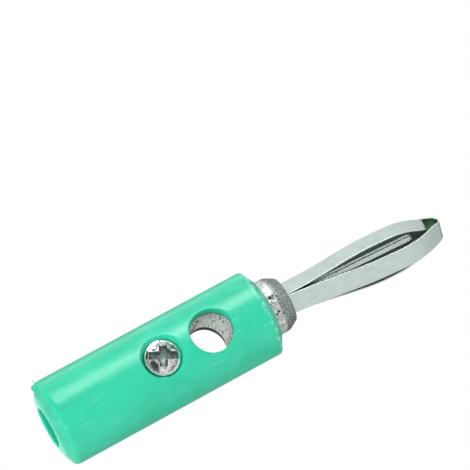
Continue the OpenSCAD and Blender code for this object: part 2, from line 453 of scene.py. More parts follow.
BODY_COLUMNS = 288
BODY_STEP = 0.05
FACE_INNER_R = 1.95
NOSE_FINE_L = 0.5
NOSE_FADE_L = 0.4
NOSE_SLOPE = 0.35
NOSE_GRAIN = 0.008
NOSE_GRAIN_CELL = 0.16
NOSE_WAVES = 0.006
NOSE_WAVES_CELL = 0.5
WIRE_CELL_HALF = 1.9
WIRE_CELL_LEAD = 0.6
WIRE_EDGE_R = 0.05
PIN_PLAY = 0.01
PIT_COUNT = 90
PIT_LEAD = 0.2
PIT_WIDTHS = (0.04, 0.09)
PIT_DEPTHS = (0.01, 0.04)
PIT_DARK = 0.07
SOCKET_ROWS = 70
SOCKET_GRAIN = 0.004
SOCKET_GRAIN_CELL = 0.2
SOCKET_PIT_COUNT = 80
SOCKET_PIT_WIDTHS = (0.05, 0.1)
SOCKET_PIT_DEPTHS = (0.01, 0.05)
# Rows round the socket's near edge that are painted dark as shadow
EDGE_SHADE_ROWS = 3

# Pits that show in front, as (degrees round from -Y, height, width, depth)
SHOWN_PITS = np.array([
    (-5.5, 26.16, 0.17, 0.12), (-7, 26.5, 0.12, 0.08), (-1, 26.45, 0.11, 0.08), (-3, 26.85, 0.1, 0.06),
    (-20, 26.4, 0.08, 0.05), (6.9, 26.2, 0.09, 0.06), (26.5, 26.3, 0.12, 0.11), (29.5, 26.02, 0.12, 0.1),
    (33.4, 26.7, 0.07, 0.05), (14, 26.7, 0.07, 0.05),
])

# Pits that show in the socket, as (degrees round its axis, place along it, width, depth)
SHOWN_SOCKET_PITS = np.array([
    (186, -1.1, 0.14, 0.14), (190, 0.4, 0.12, 0.11), (199, 1.6, 0.16, 0.14), (186, 2.1, 0.12, 0.11),
    (203, -1.2, 0.1, 0.09), (148, -1.9, 0.09, 0.09), (120, -2.1, 0.12, 0.12), (109, -1.7, 0.11, 0.1),
    (102, 1.5, 0.1, 0.1), (135, -0.3, 0.08, 0.08),
])

# Pits in the socket are drawn out along its axis
SOCKET_PIT_DRAW = np.array([1, 0.28, 1])


def scattered_pits(seed, count, along, widths, depths, shown):
    """Angles, places along the axis, widths and depths of pits: count random ones, then those that show."""
    rng = np.random.default_rng(seed)
    drawn = [rng.uniform(*span, count) for span in ((0, 2 * math.pi), along, widths, depths)]
    known = [np.radians(shown[:, 0]), *shown[:, 1:].T]
    return [np.append(one, other) for one, other in zip(drawn, known)]


def nose_pits():
    """Places, widths and depths of the casting pits round the nose."""
    heights = (SLEEVE_L - PIT_LEAD, NOSE_Z)
    angle, height, widths, depths = scattered_pits(
        SEED, PIT_COUNT, heights, PIT_WIDTHS, PIT_DEPTHS, SHOWN_PITS)
    taper = np.maximum(height - NOSE_Z + NOSE_TAPER_L, 0)
    return round_axis(BODY_R - NOSE_SLOPE * taper, angle, height), widths, depths


def roughened_nose(grid):
    """The nose's rows with their radius cut by pits and stirred by two sizes of soft noise, and the pits'
    depth."""
    radius = np.linalg.norm(grid[..., :2], axis=-1, keepdims=True)
    shown = np.clip((grid[..., 2:] - SLEEVE_L + NOSE_FADE_L) / NOSE_FADE_L, 0, 1)
    uneven = NOSE_GRAIN * soft_noise(grid, NOSE_GRAIN_CELL, 1)
    uneven = uneven + NOSE_WAVES * soft_noise(grid, NOSE_WAVES_CELL, 2)
    sunk = pitted(grid, *nose_pits())
    grid[..., :2] *= 1 + shown * (uneven - sunk)[..., None] / radius
    return grid, sunk * shown[..., 0]


def socket_wall(near, far, turn):
    """The socket's wall between its two edges, pitted and stirred outwards from its axis, and the pits'
    depth."""
    wall = between(near, far, SOCKET_ROWS)
    ends = (-BODY_R, BODY_R)
    angle, along, widths, depths = scattered_pits(
        SEED + 1, SOCKET_PIT_COUNT, ends, SOCKET_PIT_WIDTHS, SOCKET_PIT_DEPTHS, SHOWN_SOCKET_PITS)
    centres = np.stack([SOCKET_R * np.cos(angle), along, SOCKET_Z + SOCKET_R * np.sin(angle)], axis=-1)
    fade = np.sin(np.linspace(0, math.pi, len(wall)))[:, None] ** 0.5
    sunk = fade * pitted(wall * SOCKET_PIT_DRAW, centres * SOCKET_PIT_DRAW, widths, depths)
    depth = sunk + SOCKET_GRAIN * fade * soft_noise(wall, SOCKET_GRAIN_CELL, 3)
    wall[..., 0] += depth * np.cos(turn)
    wall[..., 2] += depth * np.sin(turn)
    return wall, sunk


def seat_rows(face_row, angles):
    """Rows from the nose's face into the square seat of the strips, over its floor and down the pin's
    hole."""
    off = angles - (LEAF_TURN + math.pi / 2)
    square = SEAT_HALF / np.maximum(np.abs(np.cos(off)), np.abs(np.sin(off)))
    round_hole = np.full_like(square, PIN_R + PIN_PLAY)
    levels = [
        (square, -LEAF_LEG_L, LEAF_LEAN),
        (round_hole, -LEAF_LEG_L, LEAF_LEAN),
        (round_hole, -PIN_FOOT_L, PIN_LEAN),
        (round_hole * 0, -PIN_FOOT_L, PIN_LEAN),
    ]
    rows = [face_row, round_axis(square, angles, NOSE_Z)]
    rows += [leaned(round_axis(reach, angles, depth), lean) for reach, depth, lean in levels]
    return np.stack(rows)


def body_mesh():
    """The turned and drilled body: its profile swung round the axis, the socket right through it, the screw's
    hole into the wire hole, and the seat of the strips in its nose."""
    columns = BODY_COLUMNS
    hole_columns = columns // 3
    angles = ring_angles(HOLE_SECTOR, hole_columns, columns)
    nose = rounded_path([
        (BODY_R, CELL_HIGH, 0),
        (BODY_R, SLEEVE_L - NOSE_FINE_L, 0),
        (BODY_R, NOSE_Z - NOSE_TAPER_L, NOSE_SHOULDER_R),
        (NOSE_FACE_R, NOSE_Z, NOSE_EDGE_R),
        (FACE_INNER_R, NOSE_Z, 0),
    ])
    fine = nose[:, 1] > SLEEVE_L - NOSE_FINE_L - MERGE_DISTANCE
    nose = np.concatenate([nose[~fine], subdivided(nose[fine], BODY_STEP)])
    nose_grid, nose_sunk = roughened_nose(revolved(nose, angles))
    patches = [patch(stacked(nose_grid, seat_rows(nose_grid[-1], angles)))]

    wire_low = SCREW_Z - WIRE_CELL_HALF
    wire_high = SCREW_Z + WIRE_CELL_HALF
    wire_end = SOCKET_Z - SOCKET_R - WIRE_WEB
    wire_angles = ring_angles(WIRE_SECTOR, hole_columns, columns)
    rear = rounded_path([
        (BODY_R, CELL_LOW, 0),
        (BODY_R, BODY_TAIL_Z + BODY_TAIL_CHAMFER, 0),
        (BODY_R - BODY_TAIL_CHAMFER, BODY_TAIL_Z, 0),
        (WIRE_R, BODY_TAIL_Z, WIRE_EDGE_R),
        (WIRE_R, wire_low - WIRE_CELL_LEAD, 0),
    ])
    entry = revolved(np.array([[WIRE_R, wire_low]]), wire_angles)
    patches.append(patch(np.concatenate([revolved(subdivided(rear, WALL_STEP), angles), entry])))
    point_z = wire_end - WIRE_R / math.tan(DRILL_POINT_ANGLE / 2)
    drill_point = np.array([[WIRE_R, wire_high], [WIRE_R, point_z], [0, wire_end]])
    patches.append(patch(revolved(drill_point, wire_angles)))
    wire_back = tube_sector(
        WIRE_R, WIRE_SECTOR, 2 * math.pi - WIRE_SECTOR, wire_low, wire_high, columns - hole_columns)
    patches.append(patch(wire_back, closed=False))
    patches += plain_walls(BODY_R, columns)

    thread_r = THREAD_R + THREAD_CLEAR
    outline = cell_outline(HOLE_SECTOR, CELL_LOW, CELL_MID, hole_columns)
    wire_outline = cell_outline(WIRE_SECTOR, wire_low, wire_high, hole_columns)
    turn = hole_turn(outline, BODY_R, SCREW_Z)
    outside = apron(BODY_R, -1, SCREW_Z, thread_r + BODY_RIM_R, turn, outline)
    edge = rim(BODY_R, -1, SCREW_Z, thread_r, BODY_RIM_R, turn)
    inside = apron(WIRE_R, -1, SCREW_Z, thread_r, turn, wire_outline)
    patches.append(patch(stacked(outside[::-1], edge, between(edge[-1], inside[0], 12), inside)))

    outline = cell_outline(HOLE_SECTOR, CELL_MID, CELL_HIGH, hole_columns)
    turn = hole_turn(outline, BODY_R, SOCKET_Z)
    mouth_r = SOCKET_R + BODY_RIM_R
    near_wall, far_wall = [apron(BODY_R, side, SOCKET_Z, mouth_r, turn, outline) for side in (-1, 1)]
    near_edge, far_edge = [rim(BODY_R, side, SOCKET_Z, SOCKET_R, BODY_RIM_R, turn) for side in (-1, 1)]
    wall, wall_sunk = socket_wall(near_edge[-1], far_edge[-1], turn)
    patches.append(patch(stacked(near_wall[::-1], near_edge, wall, far_edge[::-1], far_wall)))

    sunk = [np.zeros(len(points)) for points, _ in patches]
    sunk[0][:nose_sunk.size] = nose_sunk.ravel()
    first = (len(near_wall) + len(near_edge) - 2) * len(turn)
    sunk[-1][first:first + wall_sunk.size] = wall_sunk.ravel()
    # Painted shadow: the rows round the socket's near edge get the mark of the deepest pits, and so their near
    # black
    sunk[-1][first - EDGE_SHADE_ROWS * len(turn):first] = PIT_DARK
    marks = np.concatenate(sunk)[:, None] * np.array([1 / PIT_DARK, 0, 0])
    return new_mesh("nose_and_socket", patches, CRISP_FROM, ("pit", marks))


# Clamp screw

HEAD_GRID = 132
THREAD_SHARE = 3
TOP_INSET = 0.6
TOP_EDGE_W = 0.03
HEAD_WOBBLE = 0.032
HEAD_WOBBLE_CELL = 0.45
HEAD_STEP = 0.04
HEAD_CORNER_R = 0.19
HEAD_FOOT_R = 0.06
HEAD_LEVEL_H = 0.45
UNDER_MARGIN = 0.2
SHANK_ROWS = 92
SHANK_STEP = 0.02
THREAD_START = 0.1
THREAD_RUN_IN = 0.3
RIDGE_STEEP = 1.5
RIDGE_LOW = 0.2
WALL_SLOPE = 3.2
FLOOR_RISE = 0.42
FLOOR_CURVE = 1.5
SLOT_STEEP = 1.6
SHADE_H = 0.2
LIP_H = 0.04
LIP_W = 0.07
DARK_PATCH_MARGIN = 0.05
DARK_PATCH_RAGGED = 0.3
DARK_PATCH_CELL = 0.22
DARK_PATCH_EDGE = 2.2

# Places on the head are (to the right, down) from its middle, with the slot upright
SLOT_SHIFT = 0.06
RECESS_SHIFT = np.array([0.1, -0.18])
CORNER_CUTS = np.array([[0.08, 0.42], [0.3, 0.0]])
MIDDLE_R = 0.45
RIM_LINE_R = 1.6
RIM_LINE_W = 0.05
RIM_LINE_DARK = 0.7

# Dark patches, stains and painted dark reflections, as (right, down, long radius, short radius, turn,
# strength)
HEAD_DARK_PATCHES = [
    (-0.95, 0.82, 0.8, 0.5, math.radians(49), 0.95),
    (1.08, -1.06, 0.72, 0.34, math.radians(42), 0.9),
    (1.42, 0.42, 0.45, 0.22, math.radians(100), 0.6),
    (-0.5, -1.2, 0.3, 0.4, 0.0, 1.0),
    (-1.6, -0.2, 0.2, 0.6, math.radians(8), 1.0),
    (-0.75, -0.78, 0.5, 0.12, math.radians(-12), 1.0),
    (1.0, 1.05, 0.34, 0.07, math.radians(-32), 0.8),
]


def eased(value):
    """0 to 1 with soft ends."""
    value = np.clip(value, 0, 1)
    return value * value * (3 - 2 * value)


def head_dark_patches(right, down):
    """Dark patches between the arms, partly stains and partly painted dark reflections: ellipses with ragged
    soft edges, and a line round inside the rim."""
    total = RIM_LINE_DARK * np.exp(-((np.hypot(right, down) - RIM_LINE_R) / RIM_LINE_W) ** 2)
    ragged = DARK_PATCH_RAGGED * soft_noise(np.stack([right, down, 0 * right], axis=-1), DARK_PATCH_CELL, 8)
    for middle_right, middle_down, long_r, short_r, turn, strength in HEAD_DARK_PATCHES:
        p = (right - middle_right) * math.cos(turn) + (down - middle_down) * math.sin(turn)
        q = (down - middle_down) * math.cos(turn) - (right - middle_right) * math.sin(turn)
        reach = np.hypot(p / long_r, q / short_r) + ragged
        total = np.maximum(total, strength * eased(DARK_PATCH_EDGE * (1 - reach)))
    return total


def driver_recess(u, v, fall):
    """Depth of the recess at places on the head, the height of its lips, and marks (painted shade in the
    cross,
    dark patches of stains and painted reflections, lighter middle). A slot with a level floor runs right
    across:
    fall is how far the dome has come down. The cross has sloping walls, arms that rise outwards and corners
    cut off unevenly. Its edges stand up a little, where the punch raised them."""
    down = u * math.cos(SLOT_TURN) + v * math.sin(SLOT_TURN)
    right = v * math.cos(SLOT_TURN) - u * math.sin(SLOT_TURN)
    slot = SLOT_W / 2 - np.abs(right - SLOT_SHIFT)
    p = right - RECESS_SHIFT[0]
    q = down - RECESS_SHIFT[1]
    reach = np.hypot(p, q)
    level = np.minimum(RECESS_ARM_W / 2 - np.abs(q), RECESS_RIGHT - np.abs(p))
    upright = np.minimum(RECESS_ARM_W / 2 - np.abs(p), RECESS_DOWN - np.abs(q))
    cut = CORNER_CUTS[(q > 0).astype(int), (p > 0).astype(int)]
    corner = (RECESS_ARM_W + cut - np.abs(p) - np.abs(q)) / math.sqrt(2)
    cross = np.maximum(np.maximum(level, upright), corner)
    floor = RECESS_DEPTH * (1 - FLOOR_RISE * np.clip(reach / RECESS_RIGHT, 0, 1) ** FLOOR_CURVE)
    cross_depth = floor * eased(cross * WALL_SLOPE / floor)
    slot_depth = (SLOT_DEPTH - fall) * eased(slot * WALL_SLOPE * SLOT_STEEP / SLOT_DEPTH)
    outside = -np.maximum(cross, slot)
    lip = LIP_H * np.exp(-(outside / LIP_W) ** 2) * (outside > 0)
    middle = np.exp(-(reach / MIDDLE_R) ** 2)
    dark_patch = head_dark_patches(right, down) * (outside > DARK_PATCH_MARGIN)
    marks = np.stack([eased(cross_depth / SHADE_H), dark_patch, middle], axis=-1)
    return np.maximum(cross_depth, slot_depth), lip, marks


def screw_mesh():
    """The head's top is a square grid pressed into a disc, domed and sunk by the recess. Rows of its outline
    go on down its side and under it, and the shank is a grid whose radius follows the thread's helix."""
    side = np.linspace(-1, 1, HEAD_GRID + 1)
    p, q = np.meshgrid(side, side, indexing="ij")
    top_r = HEAD_R - TOP_INSET * HEAD_EDGE_R
    u = top_r * p * np.sqrt(1 - q * q / 2)
    v = top_r * q * np.sqrt(1 - p * p / 2)
    dome_r = (HEAD_R**2 + HEAD_CROWN_H**2) / (2 * HEAD_CROWN_H)
    reach = np.hypot(u, v)
    dome = HEAD_H - dome_r + np.sqrt(dome_r**2 - reach**2)
    depth, lip, marks = driver_recess(u, v, HEAD_H - dome)
    inner = eased((top_r - reach) / TOP_EDGE_W)
    wobble = HEAD_WOBBLE * soft_noise(np.stack([u, v, dome], axis=-1), HEAD_WOBBLE_CELL, 4)
    top = np.stack([u, v, dome - depth + inner * (lip + wobble)], axis=-1)
    patches = [patch(top, closed=False)]

    loop = [top[:-1, 0], top[-1, :-1], top[:0:-1, -1], top[0, :0:-1]]
    outline = np.concatenate(loop)
    turn = np.arctan2(outline[:, 1], outline[:, 0])
    edge_h = HEAD_H - dome_r + math.sqrt(dome_r**2 - top_r**2)
    profile = rounded_path([
        (top_r, edge_h, 0),
        (HEAD_R, edge_h - HEAD_STEP, HEAD_CORNER_R),
        (HEAD_R, 0, HEAD_FOOT_R),
        (THREAD_R + UNDER_MARGIN, 0, 0),
    ])
    rows = profile[:, :1] * np.ones_like(turn)
    share = np.clip((profile[:, 1:] - HEAD_LEVEL_H) / (edge_h - HEAD_LEVEL_H), 0, 1)
    heights = profile[:, 1:] + (outline[:, 2] - edge_h) * share
    ring = np.stack([rows * np.cos(turn), rows * np.sin(turn), heights], axis=-1)
    patches.append(patch(ring))

    few = turn[::THREAD_SHARE]
    down = np.concatenate([[0.0], np.linspace(SHANK_STEP, SHANK_L, SHANK_ROWS)])[:, None]
    phase = (down / THREAD_PITCH - few / (2 * math.pi)) % 1
    ridge = np.clip(RIDGE_STEEP * np.abs(2 * phase - 1) - RIDGE_LOW, 0, 1)
    start = np.clip((down - THREAD_START) / THREAD_RUN_IN, 0, 1)
    taper = np.clip((down - SHANK_L + THREAD_CHAMFER) / THREAD_CHAMFER, 0, 1) * THREAD_CHAMFER
    radius = THREAD_R - THREAD_DEPTH * start * (1 - ridge)
    radius = np.minimum(radius, THREAD_R - taper)
    shank = np.stack([radius * np.cos(few), radius * np.sin(few), -down * np.ones_like(few)], axis=-1)
    tip = shank[-1:] * np.array([0, 0, 1])
    patches.append(patch(np.concatenate([shank, tip])))

    joint = np.concatenate([ring[-1], shank[0]])
    count = len(turn)
    under = [
        [count + i, count + (i + 1) % len(few)]
        + [(THREAD_SHARE * i + k) % count for k in range(THREAD_SHARE, -1, -1)]
        for i in range(len(few))
    ]
    patches.append((joint, under))
    rest = sum(len(part[0]) for part in patches[1:])
    marks = np.concatenate([marks.reshape(-1, 3), np.zeros((rest, 3))])
    placed = [
        (np.stack([part[:, 0], SEAT_Y - part[:, 2], SCREW_Z + part[:, 1]], axis=-1), faces)
        for part, faces in patches
    ]
    return new_mesh("screw_head_and_thread", placed, SCREW_CRISP_FROM, ("recess", marks))


# Contact strips and pin

LEG_STEP = 0.5
STRIP_STEP = 0.25
STRIP_UNEVEN = 0.008
STRIP_UNEVEN_CELL = 1.7
EDGE_LEAD = 0.03
BACK_SWAY = 0.45
SWAY_FROM = 6
SWAY_RISE_L = 6
SWAY_PAST = 0.4
SWAY_FALL_L = 2.5
FOLD_SLANT = 0.4


def bend_slope(near, centre, radius):
    """Angle off the axis at which a line from the point near runs onto the bend."""
    turn = math.atan2(centre[1] - near[1], near[0] - centre[0])
    return math.acos(radius / np.linalg.norm(near - centre)) - turn


TIP_CENTRE = np.array([0, LANTERN_L - TIP_R])
SHOULDER = np.array([INNER_W / 2 + LEAF_CLEAR + LEAF_T * SLANT_SHARE, INNER_L])
TIP_SLOPE = bend_slope(SHOULDER, TIP_CENTRE, TIP_R)
INNER_BEND = np.array([INNER_FOLD_HALF - INNER_BEND_R, INNER_L - INNER_BEND_R])


def leaf_face(near, bend_centre, bend_r, more_bow=0):
    """A leaf's outer face as (distance from the axis, height): straight in its seat, bowed out to the crown,
    in to the point near and round the bend."""
    root = np.array([LEAF_ROOT, 0])
    crown = CROWN + np.array([more_bow, 0])
    rise = crown[1] / 3
    fall = (near[1] - crown[1]) * FALL_FLAT
    inward = np.array([-math.sin(TIP_SLOPE), math.cos(TIP_SLOPE)])
    leg = subdivided(np.array([[LEAF_ROOT, -LEAF_LEG_L], root]), LEG_STEP)
    pull = root + rise * np.array([ROOT_FLARE, 1])
    bow = cubic(root, pull, crown - np.array([0, CROWN_FLAT * rise]), crown)
    fold = cubic(crown, crown + np.array([0, fall]), near - fall * inward, near)
    return stacked(leg, bow, fold, arc(bend_centre, bend_r, TIP_SLOPE, math.pi / 2))


def strip_section(width):
    """Closed outline of a strip's section as (across, depth), with soft edges."""
    half = width / 2
    near = half - LEAF_EDGE_R - EDGE_LEAD
    outline = rounded_path([
        (0, 0, 0),
        (near, 0, 0),
        (half, 0, LEAF_EDGE_R),
        (half, LEAF_T, LEAF_EDGE_R),
        (near, LEAF_T, 0),
        (-near, LEAF_T, 0),
        (-half, LEAF_T, LEAF_EDGE_R),
        (-half, 0, LEAF_EDGE_R),
        (-near, 0, 0),
        (0, 0, 0),
    ], steps=3)
    return subdivided(outline, STRIP_STEP)[:-1]


def strip_mesh(name, face, other, width, turn, slant, sway):
    """A strip's section carried along its first leaf and back along the other, turned and leaned on the nose.
    Slant pushes one edge of the fold further out than the other, and sway bows the other leaf sideways."""
    mirror = other[::-1] * np.array([-1, 1])
    keep = 0 if abs(face[-1, 0]) > MERGE_DISTANCE else 1
    path = np.concatenate([face, mirror[keep:]])
    path = subdivided(path, STRIP_STEP)
    run = np.gradient(path, axis=0)
    run = run / np.linalg.norm(run, axis=1, keepdims=True)
    inward = np.stack([-run[:, 1], run[:, 0]], axis=-1)
    across, depth = strip_section(width).T
    flat = path[:, None, :] + inward[:, None, :] * depth[None, :, None]
    push = slant * eased((path[:, 1:] - CROWN[1]) / (face[-1, 1] - CROWN[1])) * across / width
    swung = sway * (path[:, :1] < 0) * eased((path[:, 1:] - SWAY_FROM) / SWAY_RISE_L)
    swung = swung * eased((INNER_L + SWAY_PAST - path[:, 1:]) / SWAY_FALL_L)
    drawn_in = TIP_NARROWING * np.exp(-((face[-1, 1] - path[:, 1:]) / TIP_NARROWING_L) ** 2)
    local = np.stack([flat[..., 0], across * (1 - drawn_in) + swung, flat[..., 1] + push], axis=-1)
    uneven = STRIP_UNEVEN * soft_noise(local, STRIP_UNEVEN_CELL, 5)
    local[..., 0] += uneven * inward[:, :1]
    local[..., 2] += uneven * inward[:, 1:]
    ends = [row.mean(axis=1, keepdims=True) + 0 * row for row in (local[:1], local[-1:])]
    local = np.concatenate([ends[0], local, ends[1]])
    x = local[..., 0] * math.cos(turn) - local[..., 1] * math.sin(turn)
    y = local[..., 0] * math.sin(turn) + local[..., 1] * math.cos(turn)
    grid = leaned(np.stack([x, y, local[..., 2]], axis=-1), LEAF_LEAN)
    along = np.concatenate([[0], np.cumsum(np.linalg.norm(np.diff(path, axis=0), axis=1))])
    along = np.concatenate([along[:1], along, along[-1:]])[:, None] * np.ones_like(across)
    marks = np.stack([along, across * np.ones_like(along), depth * np.ones_like(along)], axis=-1)
    return new_mesh(name, [patch(grid)], CRISP_FROM, ("strip_place", marks.reshape(-1, 3)))


SEAM_ANGLE = math.radians(-20)
SEAM_HALF = 0.08
SEAM_DEPTH = 0.15
# Painted shade and dark reflection on the pin: bright between these angles, dark outside them, in the seam and
# near the nose
PIN_BRIGHT = np.radians([-46, 38])
PIN_BRIGHT_EDGE = math.radians(7)
PIN_SHADE_L = 2.4
PIN_SHADE_FADE = 2.5
PIN_COLUMNS = 180
PIN_STEP = 0.4
PIN_UNEVEN = 0.008
PIN_UNEVEN_CELL = 0.3
PIN_DRAW = np.array([1, 1, 0.15])


def pin_mesh():
    """The pin's profile swung round its own axis, with a ball end and a seam drawn along it, and leaned on
    the nose. Its mark of painted shade and painted dark reflection is 0 on the bright front and 1 in the seam,
    round the back and down at the nose."""
    dome = arc(np.array([0, PIN_L - PIN_R]), PIN_R, 0, math.pi / 2)
    profile = np.concatenate([[[0, -PIN_FOOT_L]], [[PIN_R, -PIN_FOOT_L]], dome])
    angles = np.linspace(-math.pi, math.pi, PIN_COLUMNS + 1)[:-1]
    grid = revolved(subdivided(profile, PIN_STEP), angles)
    # Painted shade and painted dark reflection, from the seam, the angle round the pin and the height above
    # the nose
    seam = np.exp(-((angles - SEAM_ANGLE) * PIN_R / SEAM_HALF) ** 2)
    first, last = PIN_BRIGHT
    front = eased((angles - first) / PIN_BRIGHT_EDGE) * eased((last - angles) / PIN_BRIGHT_EDGE)
    clear = eased((grid[..., 2] - PIN_SHADE_L) / PIN_SHADE_FADE)
    marks = (1 - front * clear * (1 - seam))[..., None] * np.array([1, 0, 0])
    uneven = PIN_UNEVEN * soft_noise(grid * PIN_DRAW, PIN_UNEVEN_CELL, 6)
    grid[..., :2] *= (1 + uneven - SEAM_DEPTH / PIN_R * seam)[..., None]
    patches = [patch(leaned(grid, PIN_LEAN))]
    return new_mesh("contact_pin", patches, CRISP_FROM, ("dullness", marks.reshape(-1, 3)))


# Moulding flash on the tail's rim

NUB_ANGLE = math.radians(-65)
NUB_CENTRE = np.array([SLEEVE_R - 0.42, 0, 0.9])
NUB_RADII = np.array([0.44, 0.62, 0.72])
NUB_UNEVEN = 0.2
NUB_UNEVEN_CELL = 0.6
NUB_ROWS = 25
NUB_COLUMNS = 36
HAIR_R = 0.045
HAIR_START = np.array([0.3, 0.05, -0.12])
HAIR_RUN = np.array([0.75, 0.1, -0.16])
HAIR_CURVE = np.array([1, 2, 1.5])
HAIR_ROWS = 15
HAIR_COLUMNS = 10


def beside_axis(points, angle):
    """Points given as (away from the axis, along the rim, height), turned round the axis from -Y."""
    away, along, height = np.moveaxis(points, -1, 0)
    x = away * math.sin(angle) + along * math.cos(angle)
    y = -away * math.cos(angle) + along * math.sin(angle)
    return np.stack([x, y, height], axis=-1)


def nub_mesh():
    """The stub where the moulding was cut from its runner: a ball squeezed to three radii and stirred, and a
    hair of plastic drawn from it along a curve and thinning to its end."""
    polar = np.linspace(0, math.pi, NUB_ROWS)[:, None]
    round_it = np.linspace(0, 2 * math.pi, NUB_COLUMNS + 1)[:-1]
    ball = np.stack(np.broadcast_arrays(
        np.sin(polar) * np.cos(round_it), np.sin(polar) * np.sin(round_it), np.cos(polar)), axis=-1)
    uneven = NUB_UNEVEN * soft_noise(ball, NUB_UNEVEN_CELL, 7)[..., None]
    blob = NUB_CENTRE + ball * NUB_RADII * (1 + uneven)
    t = np.linspace(0, 1, HAIR_ROWS)[:, None]
    path = NUB_CENTRE + HAIR_START + HAIR_RUN * t**HAIR_CURVE
    thick = HAIR_R * np.sqrt(1 - t**3)
    ring = np.linspace(0, 2 * math.pi, HAIR_COLUMNS + 1)[:-1]
    hair = path[:, None] + thick[:, None] * np.stack([0 * ring, np.cos(ring), np.sin(ring)], axis=-1)
    hair = np.concatenate([path[:1, None] + 0 * hair[:1], hair])
    patches = [patch(beside_axis(part, NUB_ANGLE)) for part in (blob, hair)]
    return new_mesh("gate_nub", patches, NUB_CRISP_FROM)


# Material nodes

def node(tree, kind, inputs=None, **settings):
    """A new node with its settings, and with its inputs set to values or linked to sockets."""
    made = tree.nodes.new(kind)
    for key, value in settings.items():
        setattr(made, key, value)
    for key, value in (inputs or {}).items():
        if isinstance(value, bpy.types.NodeSocket):
            tree.links.new(value, made.inputs[key])
        else:
            made.inputs[key].default_value = value
    return made


def mask_group(name, inputs):
    """An empty node group with named inputs (name, kind, default), a Mask output, and its two end nodes."""
    tree = bpy.data.node_groups.new(name, "ShaderNodeTree")
    for label, kind, default in inputs:
        socket = tree.interface.new_socket(label, in_out="INPUT", socket_type=kind)
        if default is not None:
            socket.default_value = default
    tree.interface.new_socket("Mask", in_out="OUTPUT", socket_type="NodeSocketFloat")
    return tree, node(tree, "NodeGroupInput").outputs, node(tree, "NodeGroupOutput").inputs["Mask"]


def cloud_group():
    """Soft noise with its middle stretched to black and white: Low and High are the noise values that become
    0 and 1. Stretch multiplies the place first, so unequal numbers draw it out into streaks."""
    tree, given, mask = mask_group("cloud", [
        ("Vector", "NodeSocketVector", None),
        ("Stretch", "NodeSocketVector", (1, 1, 1)),
        ("Detail", "NodeSocketFloat", 3),
        ("Low", "NodeSocketFloat", 0.35),
        ("High", "NodeSocketFloat", 0.65),
    ])
    place = node(tree, "ShaderNodeVectorMath", {
        0: given["Vector"], 1: given["Stretch"]}, operation="MULTIPLY").outputs[0]
    noise = node(tree, "ShaderNodeTexNoise", {"Vector": place, "Scale": 1, "Detail": given["Detail"]})
    spread = node(tree, "ShaderNodeMapRange", {
        "Value": noise.outputs["Fac"], "From Min": given["Low"], "From Max": given["High"]},
        interpolation_type="SMOOTHSTEP")
    tree.links.new(spread.outputs["Result"], mask)
    return tree


def pit_group():
    """Small round pits: distance to the nearest of many scattered points, kept in only some of their
    cells."""
    tree, given, mask = mask_group("pits", [
        ("Vector", "NodeSocketVector", None),
        ("Scale", "NodeSocketFloat", 4000),
        ("Size", "NodeSocketFloat", 0.35),
        ("Share", "NodeSocketFloat", 0.3),
    ])
    cells = node(tree, "ShaderNodeTexVoronoi", {"Vector": given["Vector"], "Scale": given["Scale"]})
    near = node(tree, "ShaderNodeMapRange", {
        "Value": cells.outputs["Distance"], "From Min": given["Size"], "From Max": 0.0},
        interpolation_type="SMOOTHSTEP")
    part = node(tree, "ShaderNodeSeparateColor", {"Color": cells.outputs["Color"]})
    kept = node(tree, "ShaderNodeMath", {0: part.outputs["Red"], 1: given["Share"]}, operation="LESS_THAN")
    both = node(tree, "ShaderNodeMath", {0: near.outputs["Result"], 1: kept.outputs[0]}, operation="MULTIPLY")
    tree.links.new(both.outputs[0], mask)
    return tree


CLOUD = cloud_group()
PITS = pit_group()


def new_material(name):
    """A material with its Principled shader linked up, and the place on the piece in Object coordinates."""
    material = bpy.data.materials.new(name)
    material.use_nodes = True
    tree = material.node_tree
    tree.nodes.clear()
    shader = node(tree, "ShaderNodeBsdfPrincipled")
    node(tree, "ShaderNodeOutputMaterial", {"Surface": shader.outputs["BSDF"]})
    return material, tree, shader, node(tree, "ShaderNodeTexCoord").outputs["Object"]


def cloud(tree, place, stretch, low=0.35, high=0.65, detail=3):
    """The cloud group's mask in a material. Stretch is in noise cells per metre of place."""
    inputs = {"Vector": place, "Stretch": stretch, "Low": low, "High": high, "Detail": detail}
    return node(tree, "ShaderNodeGroup", inputs, node_tree=CLOUD).outputs["Mask"]


def pits(tree, place, scale, size, share):
    """The pit group's mask in a material."""
    inputs = {"Vector": place, "Scale": scale, "Size": size, "Share": share}
    return node(tree, "ShaderNodeGroup", inputs, node_tree=PITS).outputs["Mask"]


def blend(tree, mask, low, high):
    """A colour between low and high by the mask. Each is a colour or a socket."""
    made = node(tree, "ShaderNodeMix", data_type="RGBA")
    tree.links.new(mask, made.inputs["Factor"])
    for key, value in (("A", low), ("B", high)):
        socket = [each for each in made.inputs if each.name == key and each.type == "RGBA"][0]
        if isinstance(value, bpy.types.NodeSocket):
            tree.links.new(value, socket)
        else:
            socket.default_value = (*value, 1)
    return [each for each in made.outputs if each.type == "RGBA"][0]


def ranged(tree, value, span, low=0.0, high=1.0):
    """A number that goes from low to high as a value crosses a span, and stays there past its ends."""
    inputs = {"Value": value, "From Min": span[0], "From Max": span[1], "To Min": low, "To Max": high}
    return node(tree, "ShaderNodeMapRange", inputs).outputs["Result"]


def between_values(tree, mask, low, high):
    """A number between low and high by the mask."""
    return ranged(tree, mask, (0, 1), low, high)


def passed(tree, value, low, high):
    """0 to 1 as a length goes from low to high, in millimetres."""
    return ranged(tree, value, (low * MM, high * MM))


def combined(tree, operation, first, second):
    """Two masks put together by a sum, a product or the greater of the two."""
    made = node(tree, "ShaderNodeMath", {0: first, 1: second}, operation=operation, use_clamp=True)
    return made.outputs[0]


def xyz(tree, vector):
    """The three parts of a vector."""
    return node(tree, "ShaderNodeSeparateXYZ", {"Vector": vector}).outputs


